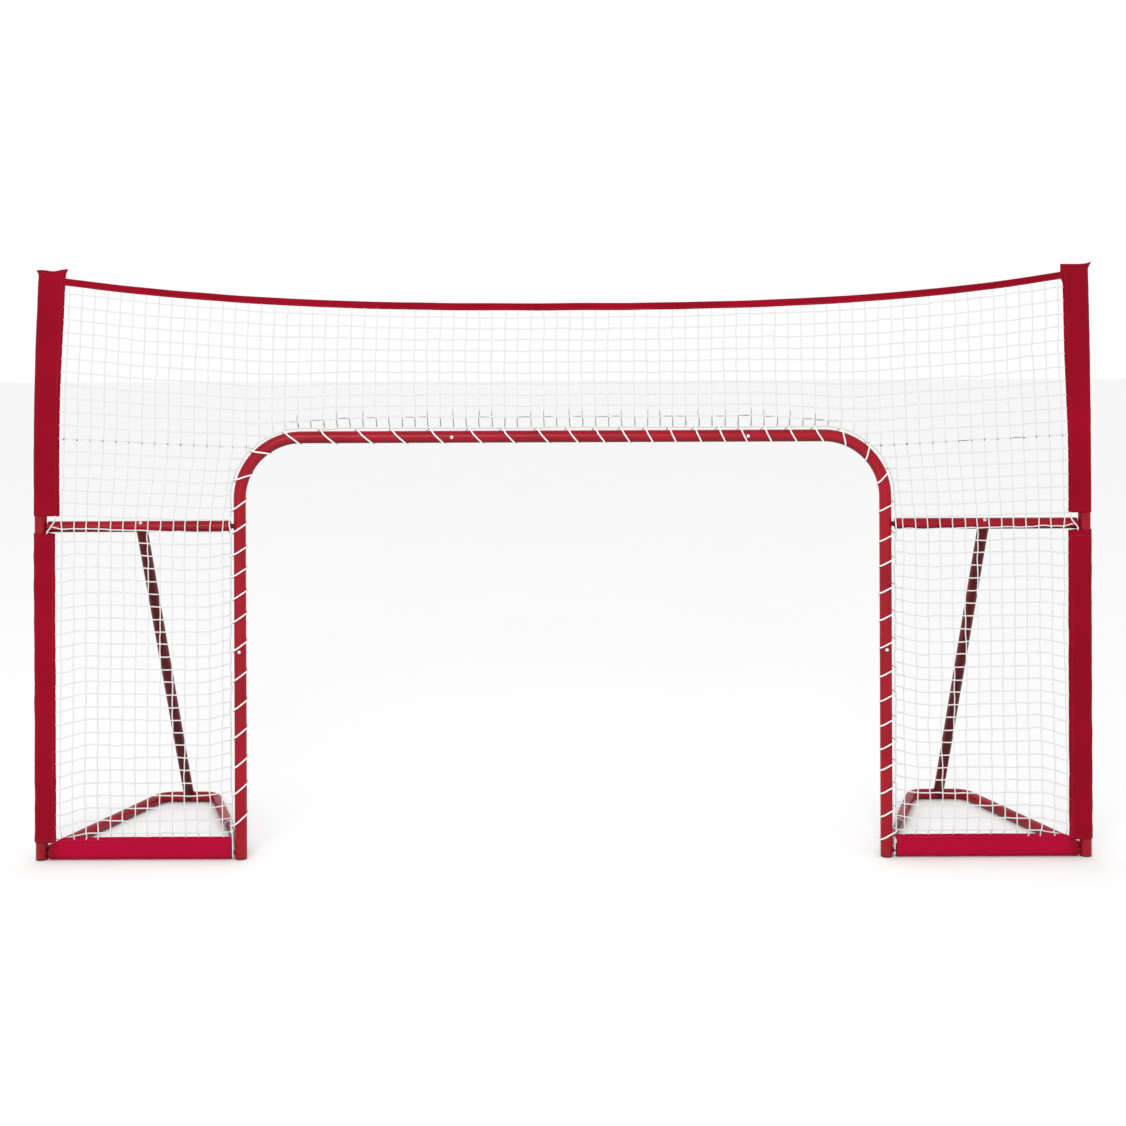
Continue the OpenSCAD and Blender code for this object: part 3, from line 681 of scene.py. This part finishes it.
def build_bottom_sleeve(word, side):
    """The sleeve over a floor rail: its flat edge stands up, and drops towards the outer post."""
    low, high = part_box(f"bottom_sleeve_{word}")
    inner_x, outer_x = sorted((abs(low.x), abs(high.x)))

    def shape(x):
        drop = 22 * MM * smooth(outer_x - 45 * MM, outer_x, x)
        edge_y = -9.8 * MM - 4 * MM * smooth(0.3, 0, outer_x - x)
        return RAIL_R + SLEEVE_EASE, BOTTOM_HIGH - BOTTOM_Z - drop, edge_y

    def place(x, loop):
        z = np.maximum(BOTTOM_Z - loop[:, 0], 0.9 * MM)
        return np.stack([np.full(len(loop), side * x), FRONT_Y + loop[:, 1], z], axis=1)

    def crease(_):
        return 1.1 * MM

    levels = np.concatenate([
        [inner_x], np.arange(inner_x + 3 * MM, outer_x - 50 * MM, 6.5 * MM),
        np.arange(outer_x - 48 * MM, outer_x - 2 * MM, 4 * MM), [outer_x],
    ])
    sleeve(
        f"bottom_sleeve_{word}", levels, shape, place, crease,
        flip=side > 0, edge_end=2, hem=3,
    )


# ---------- Strap ----------

STRAP_T = 4.2 * MM


def build_strap():
    """The doubled and sewn band along the top, with a row of stitches on each face."""
    xs = np.linspace(STRAP_LOW.x - 1.5 * MM, STRAP_HIGH.x + 1.5 * MM, 460)
    count = 24
    turn = np.arange(count) / count * 2 * math.pi
    across = np.sign(np.cos(turn)) * np.abs(np.cos(turn)) ** 0.6
    through = np.sign(np.sin(turn)) * np.abs(np.sin(turn)) ** 0.7
    rows = []
    for x in xs:
        mid = strap_top(x) - STRAP_H / 2 + 0.8 * MM * wobble(x, 0, 0, 0.12)
        dz = STRAP_H / 2 * (1 + 0.03 * wobble(x, 0, 2, 0.09)) * across
        pucker = np.array([0.35 * MM * wobble(x, 0, k, 0.016) for k in range(count)])
        dy = STRAP_T / 2 * through + np.sign(through) * pucker
        lean = 0.12 * wobble(x, 4, 0, 0.3)
        sway = 0.9 * MM * wobble(x, 7, 0, 0.16)
        rows.append(np.stack([np.full(count, x), NET_Y + sway + dy + lean * dz, mid + dz], axis=1))
    grid = np.array(rows)
    n = len(xs)
    faces = tube_faces(n, count)[:, [0, 3, 2, 1]].tolist()
    faces += [list(range(count)), list(range((n - 1) * count, n * count))[::-1]]
    run = run_along(grid[:, 0])
    uvs = np.stack([np.repeat(run, count), np.tile(np.arange(count) / count * 2 * STRAP_H, n)], axis=1)
    strap = mesh_piece("top_strap_cloth", grid.reshape(-1, 3), faces, uvs)
    piece = dress(strap, CLOTH, ["top_strap"])
    thread = Bundle()
    for column, out in ((16, -1.0), (8, 1.0)):
        add_stitches(thread, grid[:, column], np.tile([0, out, 0], (n, 1)), 6 * MM, 4 * MM)
    threads = dress(thread.piece("top_strap_stitching"), THREAD)


# ---------- Net ----------

TWINE_R = 1.8 * MM
KNOT_R = 2.8 * MM
SLACK = 0.9 * MM
EDGE_GAP = 26 * MM
MESH_COLUMNS, SIDE_COLUMNS = 78, 18
TOP_ROWS, SIDE_ROWS, RAIL_ROW = 11, 31, 7
SLEEVE_FOLD_Y = FRONT_Y + FOLD_Y + FOLD_T / 2
CENTRE_LOW = 1209.8 * MM
SIDE_TOP = 1.2
SEAM_FROM_X = 850 * MM
FIRST_COLUMN = {-1: 17 * MM, 1: 19 * MM}

# The side net's columns, at the side rail and at the floor: the first one's distance from the goal's middle,
# and the step.
RAIL_COLUMNS = (1441 * MM, 35.5 * MM)
FLOOR_COLUMNS = (1448 * MM, 35.9 * MM)

# The side net's free edge between two sleeves, as distances from the middle and heights in millimetres.
SELVEDGE = ((1459, 1000), (1460, 988), (1464, 973), (1472, 962), (1482, 948), (1483, 936))


def clearance(x, z):
    """Distance of a place in the net's plane outside the arch's centre line."""
    x = abs(x)
    if z < ARC_Z:
        return x - ARCH_X
    if x < ARC_X:
        return z - ARCH_Z
    return math.hypot(x - ARC_X, z - ARC_Z) - BEND_R


def net_depth(x, z):
    """The net's place from front to back: it waves, and turns in to what it is sewn or laced to."""
    side = 1 if x > 0 else -1
    wave = NET_Y - 1.2 * MM - 3 * MM * (0.5 + 0.5 * wobble(x, 2, z, 0.21))
    to_arch = 1 - smooth(EDGE_GAP + 1 * MM, EDGE_GAP + 30 * MM, clearance(x, z))
    if abs(x) > ARCH_X:
        to_arch *= 1 - math.exp(-((z - SIDE_Z) / (30 * MM)) ** 2)
    y = wave + (FRONT_Y - 7 * MM - wave) * to_arch
    if not LOWER_HIGH < z < UPPER_LOW:
        y += (SLEEVE_FOLD_Y - y) * (1 - smooth(0, 15 * MM, tail_edge(side, z) - abs(x)))
    y += (NET_Y - y) * (1 - smooth(0, 14 * MM, strap_top(x) - STRAP_H - z))
    y += (FRONT_Y - 7.8 * MM - y) * (1 - smooth(0, 22 * MM, z - BOTTOM_HIGH))
    return y


def shake(x, z, seed, size):
    """Moves a knot by smooth and by single random amounts."""
    x += 2.2 * size * wobble(x, seed, z, 0.17) + RNG.normal(0, 0.42 * size)
    z += 2.2 * size * wobble(z, x, seed + 3, 0.15) + RNG.normal(0, 0.42 * size)
    return np.array([x, z])


def onto_edge(point):
    """The nearest place on the net's laced edge."""
    x, z = point
    side = 1 if x > 0 else -1
    if z <= ARC_Z:
        return np.array([side * (ARCH_X + EDGE_GAP), z])
    centre = np.array([side * min(abs(x), ARC_X), ARC_Z])
    away = point - centre
    return centre + away * (BEND_R + EDGE_GAP) / np.linalg.norm(away)


def clip(points, gap=EDGE_GAP):
    """Cuts a line of knots near the arch's laced edge, ties its ends there, and gives the runs outside."""
    def within(point):
        return clearance(*point) < gap

    runs, run = [], []
    before = None
    for point in points:
        if before is not None and within(point) != within(before):
            near, far = before, point
            for _ in range(12):
                halfway = (near + far) / 2
                if within(halfway) == within(before):
                    near = halfway
                else:
                    far = halfway
            ends = [onto_edge(far), far] if gap > EDGE_GAP else [far]
            run.extend(ends[::-1] if within(point) else ends)
        if within(point):
            if run:
                runs.append(run)
            run = []
        else:
            run.append(point)
        before = point
    if run:
        runs.append(run)
    return [r for r in runs if len(r) > 1]


def twine_path(knots, bows):
    """A twine's points on a smooth curve through its knots (x, z), with slack between them."""
    padded = np.concatenate([[2 * knots[0] - knots[1]], knots, [2 * knots[-1] - knots[-2]]])
    points = []
    for i in range(len(knots) - 1):
        p0, p1, p2, p3 = padded[i:i + 4]
        across = np.array([-(p2 - p1)[1], (p2 - p1)[0]])
        across = across / max(np.linalg.norm(across), 1e-9)
        for t in (0, 0.25, 0.5, 0.75):
            square = 2 * p0 - 5 * p1 + 4 * p2 - p3
            cube = 3 * p1 - p0 - 3 * p2 + p3
            spot = 0.5 * (2 * p1 + (p2 - p0) * t + square * t * t + cube * t ** 3)
            points.append(spot + across * bows[i] * math.sin(math.pi * t))
    points.append(knots[-1])
    return np.array(points)


def lay_twine(bundle, knots, radius=TWINE_R, forward=0.0):
    """Adds one twine of the net through its knots."""
    knots = np.asarray(knots)
    flat = twine_path(knots, RNG.normal(0, SLACK, len(knots)))
    path = np.array([[x, net_depth(x, z) - forward, z] for x, z in flat])
    thick = radius * (1 + 0.06 * np.sin(np.arange(len(path)) * 1.7))
    thick[[0, -1]] *= 0.6
    add_cord(bundle, path, thick)


def tie_knots(bundle, points):
    """Adds the net's knots, apart from those that the arch's edge cuts off."""
    for x, z in points:
        if clearance(x, z) > EDGE_GAP + 3 * MM:
            lump = np.array([1.05, 0.95, 1.05]) * KNOT_R * RNG.uniform(0.9, 1.12)
            add_knot(bundle, np.array([x, net_depth(x, z), z]), lump)


def low_line(x):
    """The lowest row of the top net: the seams at the sides, and a line behind the bar between them."""
    out = smooth(0.50, 0.88, abs(x))
    return CENTRE_LOW + (seam_z(max(abs(x), SEAM_FROM_X)) - CENTRE_LOW) * out


def top_point(column, row):
    """Where a knot of the top net is before it is shaken."""
    x, z = 0.0, 1.4
    for _ in range(4):
        left = -tail_edge(-1, z) + FIRST_COLUMN[-1]
        right = tail_edge(1, z) - FIRST_COLUMN[1]
        x = left + (right - left) * column / (MESH_COLUMNS - 1)
        high = strap_top(x) - STRAP_H - 20 * MM
        z = high + (low_line(x) - high) * row / TOP_ROWS
    return x, z


def add_edge_shade_cords(bundle, run):
    """Adds grey cords of painted shade at a twine's laced end, and on some a stroke aside or upward along the
    mesh.
    """
    knot = run[-2] if np.linalg.norm(run[-2] - run[-1]) > 16 * MM else run[-3]
    lay_twine(bundle, [run[-1] + [1.2 * MM, 2 * MM], knot], 1.3 * MM, forward=1.2 * MM)
    if RNG.random() < 0.6:
        aside = knot + [26 * MM * RNG.choice([-1, 1]), 0]
        lay_twine(bundle, [knot, aside], 1.1 * MM, forward=1.0 * MM)
    if RNG.random() < 0.5:
        lay_twine(bundle, [knot, knot + [0, 20 * MM]], 1.0 * MM, forward=1.0 * MM)


def build_top_net():
    """The net under the strap, from post to post. Gives its knots, which the side nets hang from."""
    grid = np.array([[
        shake(*top_point(u, k), 1, (1.3 if k < TOP_ROWS else 0.5) * MM) for k in range(TOP_ROWS + 1)
    ] for u in range(MESH_COLUMNS)])
    net, shade_cords = Bundle(), Bundle()
    for column in grid:
        x = column[0, 0]
        above = np.array([x, strap_top(x) - STRAP_H + 2 * MM])
        for run in clip([above, *column]):
            lay_twine(net, run)
            # Painted shade: grey cords at the laced ends near the bar.
            if clearance(*run[-1]) < EDGE_GAP + 1 * MM and abs(x) < ARC_X + 30 * MM:
                add_edge_shade_cords(shade_cords, run)
    for k in range(TOP_ROWS + 1):
        z_left, z_right = grid[0, k, 1], grid[-1, k, 1]
        left = np.array([-tail_edge(-1, z_left) - 6 * MM, z_left])
        right = np.array([tail_edge(1, z_right) + 6 * MM, z_right])
        for run in clip([left, *grid[:, k], right], EDGE_GAP + 7 * MM):
            lay_twine(net, run)
    tie_knots(net, grid.reshape(-1, 2))
    dress(net.piece("net_top_twine"), NET_TWINE, ["net_top"])
    dress(shade_cords.piece("net_edge_shade_cords"), SHADE_TWINE)
    return grid


def rail_row(side, x):
    """Height of the row that hangs in front of the side rail."""
    inward = smooth(OUTER_X - 80 * MM, ARCH_X + 60 * MM, abs(x))
    return SIDE_Z - 5 * MM - (10 * MM if side < 0 else 8 * MM) * inward


def side_point(side, column, row, seam_x):
    """Where a knot of a side net is before it is shaken; columns count from the outer post."""
    at_rail, at_floor = (first - step * column for first, step in (RAIL_COLUMNS, FLOOR_COLUMNS))
    x, z = seam_x, SIDE_TOP
    for _ in range(4):
        up = clamp((z - SIDE_Z) / (SIDE_TOP - SIDE_Z), 0, 1)
        down = 1 - smooth(0.1, 0.9, z)
        x = at_rail + (abs(seam_x) - at_rail) * up + (at_floor - at_rail) * down
        top = seam_z(max(x, SEAM_FROM_X))
        rail = rail_row(side, x)
        low = BOTTOM_HIGH + 16 * MM - 22 * MM * smooth(0.10, 0.0, OUTER_X - LOWER_TAIL - x)
        if row <= RAIL_ROW:
            z = top + (rail - top) * row / RAIL_ROW
        else:
            share = (row - RAIL_ROW) / (SIDE_ROWS - RAIL_ROW)
            lift = 17 * MM * smooth(1040 * MM, 950 * MM, x) - 6 * MM * smooth(1380 * MM, 1460 * MM, x)
            z = rail + (low - rail) * share + math.sin(math.pi * share) ** 0.7 * lift
    return side * x, z


def build_side_net(word, side, top_grid):
    """The net between an outer post and the arch, from the seam down over the floor rail's sleeve."""
    seams = (top_grid if side < 0 else top_grid[::-1])[:SIDE_COLUMNS, -1]
    grid = np.array([[
        seams[u] if k == 0 else shake(*side_point(side, u, k, seams[u][0]), 9 + side, 1.3 * MM)
        for k in range(SIDE_ROWS + 1)
    ] for u in range(SIDE_COLUMNS)])
    net = Bundle()
    for u in range(SIDE_COLUMNS):
        sink = 14 * MM if u == 0 else 0
        below = np.array([grid[u, -1, 0] + RNG.normal(0, 1 * MM), BOTTOM_HIGH - 5 * MM - sink])
        for run in clip([*grid[u], below]):
            lay_twine(net, run)
            if u < 4 and run[-1] is below:
                tail = [below + [0, 9 * MM], below + [RNG.normal(0, 2 * MM), 1 * MM]]
                lay_twine(net, tail, forward=5.5 * MM)
    for k in range(1, SIDE_ROWS + 1):
        z = grid[0, k, 1]
        if LOWER_HIGH < z < UPPER_LOW:
            start = np.array([side * 1470 * MM, z + 7 * MM])
        else:
            start = np.array([side * (tail_edge(side, z) + 6 * MM), z])
        for run in clip([start, *grid[:, k]]):
            lay_twine(net, run)
    lay_twine(net, [np.array([side * x, z]) * MM for x, z in SELVEDGE], 2.1 * MM)
    tie_knots(net, grid[:, 1:].reshape(-1, 2))
    dress(net.piece(f"net_side_{word}_twine"), NET_TWINE, [f"net_side_{word}"])


def build_seams(top_grid):
    """The twine that whips the top net to the side nets and runs on along the laced edge, with grey knots and
    threads of painted shade at the seam.
    """
    net, shade_cords = Bundle(), Bundle()
    whips, steps = 15, 12
    for side in (-1, 1):
        start, end = tail_edge(side, 1.21) + 3 * MM, 890 * MM
        path = []
        for i in range(whips * steps + 1):
            x = side * (start + (end - start) * i / (whips * steps))
            phase = i / steps * 2 * math.pi
            z = seam_z(x) + 1.6 * MM * math.sin(phase)
            path.append((x, net_depth(x, z) + 1.6 * MM * math.cos(phase) - 1.5 * MM, z))
        add_cord(net, path, 1.3 * MM)
    # Painted shade: dark grey knots and a few grey threads along the seam.
    for x, z in top_grid[:, -1]:
        if clearance(x, z) > EDGE_GAP:
            lump = np.array([2.9, 2.6, 2.3]) * MM * RNG.uniform(0.85, 1.2)
            add_knot(shade_cords, np.array([x, net_depth(x, z) - 2.4 * MM, z - 1 * MM]), lump)
    for a, b in zip(top_grid[:-1, -1], top_grid[1:, -1]):
        if min(clearance(*a), clearance(*b)) > EDGE_GAP and RNG.random() < 0.22:
            lay_twine(shade_cords, [a, b], 1.2 * MM, forward=2.2 * MM)
    edge = []
    for s in np.arange(70 * MM, ARCH_LEN - 60 * MM, 31 * MM):
        x, z, out = arch_at(s)
        gap = EDGE_GAP + RNG.normal(0, 0.8 * MM)
        edge.append(np.array([x + gap * math.cos(out), z + gap * math.sin(out)]))
    lay_twine(net, edge, 2.2 * MM)
    dress(net.piece("net_seam_twine"), NET_TWINE, ["net_seam_cords"])
    dress(shade_cords.piece("net_seam_shade_cords"), SHADE_TWINE)


# ---------- Lacing ----------

LACE_R = 2.3 * MM
BUTTON_GAP = 11 * MM
WRAPS = 50
STEPS_PER_TURN = 28
FIRST_WRAP, LAST_WRAP = 114 * MM, 4080 * MM

# The lacing's straight ends at the feet: heights in millimetres, and degrees round the post from its outside.
LEFT_END = ((6, 22), (20, 14), (38, 20), (56, 12), (76, 8))
RIGHT_END = ((40, 10), (30, 16), (19, 10), (7, 20))


def arch_at(s):
    """The arch's centre line at a distance from the left foot: its place and its outward angle."""
    if s < ARC_Z:
        return -ARCH_X, s, math.pi
    if s < ARC_Z + BEND_LEN:
        a = math.pi - math.pi / 2 * (s - ARC_Z) / BEND_LEN
        return -ARC_X + BEND_R * math.cos(a), ARC_Z + BEND_R * math.sin(a), a
    if s < ARC_Z + BEND_LEN + BAR_LEN:
        return s - ARC_Z - BEND_LEN - BAR_LEN / 2, ARCH_Z, math.pi / 2
    if s < ARCH_LEN - ARC_Z:
        a = math.pi / 2 * (ARCH_LEN - ARC_Z - s) / BEND_LEN
        return ARC_X + BEND_R * math.cos(a), ARC_Z + BEND_R * math.sin(a), a
    return ARCH_X, ARCH_LEN - s, 0.0


def lace_point(s, around, reach):
    """A place on or near the arch's tube: how far along it, at what angle round it, and how far out."""
    x, z, out = arch_at(s)
    flat = reach * math.cos(around)
    return x + flat * math.cos(out), FRONT_Y - reach * math.sin(around), z + flat * math.sin(out)


def wrap_places():
    """Where each wrap crosses the arch's front, in metres from the left foot, clear of the snap buttons."""
    shares = [0, 0.06, 0.12, 0.16, 0.24, 0.27, 0.33, 0.39, 0.44, 0.5, 0.6, 0.66, 0.7, 0.74, 0.82, 0.9, 1]
    pitches = [86, 96, 86, 68, 70, 100, 106, 116, 92, 76, 68, 80, 80, 88, 76, 70, 69]
    gaps = np.interp((np.arange(WRAPS) + 0.5) / WRAPS, shares, pitches) + RNG.normal(0, 6, WRAPS)
    places = np.concatenate([[0], np.cumsum(gaps)])
    places = FIRST_WRAP + places * (LAST_WRAP - FIRST_WRAP) / places[-1]
    for word, side in SIDES.items():
        on_post = middle(f"snap_button_post_{word}").z
        on_bar = ARC_Z + BEND_LEN + ARC_X - abs(middle(f"snap_button_top_{word}").x)
        for from_foot in (on_post, on_bar):
            button = from_foot if side < 0 else ARCH_LEN - from_foot
            nearest = int(np.argmin(np.abs(places - button)))
            off = places[nearest] - button
            places[nearest] = button + math.copysign(max(abs(off), BUTTON_GAP), off)
    return places


def build_lacing():
    """One long cord, hand wound round the arch and through the net's edge, with uneven pitch."""
    places = wrap_places()
    travels = np.interp(
        places, [0.1, 0.9, 1.2, 1.45, 1.75, 2.0, 2.25, 2.4, 2.65, 2.8, 3.2, 4.0],
        np.array([36, 25, 38, 50, 40, 37, 28, 20, 21, 28, 22, 25]) * MM,
    )
    places = np.append(places, places[-1] + 26 * MM)
    end_reach = POST_R + 6.5 * MM
    path = [lace_point(z * MM, math.radians(a), end_reach) for z, a in LEFT_END]
    quarter = STEPS_PER_TURN // 4
    for step in range(-quarter, (WRAPS + 1) * STEPS_PER_TURN - quarter + 1):
        turn = step / STEPS_PER_TURN
        wrap = clamp(math.floor(turn + 0.25), 0, WRAPS)
        a = 2 * math.pi * (turn - wrap)
        travel = float(np.interp(turn, np.arange(WRAPS + 1), travels))
        if a <= math.pi / 2:
            s = places[wrap] + travel / 2 * math.sin(a)
        else:
            pitch = places[wrap + 1] - places[wrap]
            s = places[wrap] + pitch / 2 - (pitch - travel) / 2 * math.sin(a)
        around = a + math.pi / 2
        outward = max(0.0, math.cos(around)) ** 2
        path.append(lace_point(s, around, POST_R + LACE_R + 0.1 * MM + 10 * MM * outward))
    path += [lace_point(ARCH_LEN - z * MM, math.radians(a), end_reach) for z, a in RIGHT_END]
    cord = Bundle()
    add_cord(cord, path, LACE_R, 8)
    for s in (84 * MM, ARCH_LEN - 48 * MM):
        spot = np.array(lace_point(s, math.radians(10), POST_R + 8.5 * MM))
        add_knot(cord, spot, np.array([5.0, 4.4, 5.4]) * MM)
        add_knot(cord, spot + np.array([1, -1, -5]) * MM, np.array([4.2, 4.0, 4.0]) * MM)
    dress(cord.piece("arch_lacing_cord"), LACE, ["arch_lacing"])


# ---------- Welds ----------

def build_weld(word):
    """The weld bead where a brace stands on its back bar."""
    low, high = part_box(f"base_back_{word}")
    bar_y, bar_z = high.y - RAIL_R, (low.z + high.z) / 2
    run, rise = bar_y - FRONT_Y, SIDE_Z - bar_z
    length = math.hypot(run, rise)
    down = np.array([0, run, -rise]) / length
    across = np.array([0, rise, run]) / length
    centre = np.array([middle(f"brace_{word}").x, bar_y, bar_z])
    steps = 72
    path = []
    for a in np.arange(steps + 1) * 2 * math.pi / steps:
        off = RAIL_R * math.cos(a)
        back = math.sqrt(max(RAIL_R ** 2 - off ** 2, 0)) + 0.4 * MM
        path.append(centre + across * off - down * back + np.array([RAIL_R * math.sin(a), 0, 0]))
    ripple = 0.5 * np.sin(np.arange(steps + 1) * 2.4) + 0.2 * RNG.standard_normal(steps + 1)
    bead = Bundle()
    add_cord(bead, path, (2.3 + ripple) * MM, 7)
    dress(bead.piece(f"brace_weld_{word}"), SHADED_RED)


for word, side in SIDES.items():
    build_upper_sleeve(word, side)
    build_lower_sleeve(word, side)
    build_bottom_sleeve(word, side)
top_knots = build_top_net()
build_strap()
for word, side in SIDES.items():
    build_side_net(word, side, top_knots)
build_seams(top_knots)
build_lacing()
for word in SIDES:
    build_weld(word)


# ---------- Floor, light and camera ----------

FLOOR_REACH = 60
floor_mesh = bpy.data.meshes.new("floor")
floor_mesh.from_pydata(
    [(x * FLOOR_REACH, y * FLOOR_REACH, 0) for x, y in ((-1, -1), (1, -1), (1, 1), (-1, 1))],
    [], [(0, 1, 2, 3)],
)
floor = bpy.data.objects.new("floor", floor_mesh)
floor.location.z = -0.4 * MM
bpy.context.scene.collection.objects.link(floor)
floor_mesh.materials.append(plain_floor("pale_floor"))

world = bpy.data.worlds.new("studio")
bpy.context.scene.world = world
world.use_nodes = True
backdrop = world.node_tree.nodes["Background"]
backdrop.inputs["Color"].default_value = (1, 1, 1, 1)
backdrop.inputs["Strength"].default_value = 1.0

KEY_PLACE = Vector((-1.2, -7.5, 4.1))
KEY_TARGET = Vector((0, 0, 0.9))
key_data = bpy.data.lights.new("key", "AREA")
key_data.shape = "RECTANGLE"
key_data.size, key_data.size_y = 3.5, 1.6
key_data.energy = 260
key = bpy.data.objects.new("key", key_data)
key.location = KEY_PLACE
key.rotation_euler = (KEY_TARGET - KEY_PLACE).to_track_quat("-Z", "Y").to_euler()
bpy.context.scene.collection.objects.link(key)

# A level camera in front of the goal, its frame shifted down to take in the feet. Lens in millimetres.
VIEW_DISTANCE = 4.88
EYE_HEIGHT = 1.488
EYE_X = 3.2 * MM
ROLL = math.radians(-0.22)
camera_data = bpy.data.cameras.new("camera")
camera_data.sensor_width = 36
camera_data.lens = 54.032
camera_data.shift_y = -0.19627
camera_data.clip_end = 500
camera = bpy.data.objects.new("camera", camera_data)
camera.matrix_world = (
    Matrix.Translation((EYE_X, FRONT_Y - VIEW_DISTANCE, EYE_HEIGHT))
    @ Matrix.Rotation(math.pi / 2, 4, "X") @ Matrix.Rotation(ROLL, 4, "Z")
)
bpy.context.scene.collection.objects.link(camera)
bpy.context.scene.camera = camera
bpy.context.scene.view_settings.view_transform = "Standard"
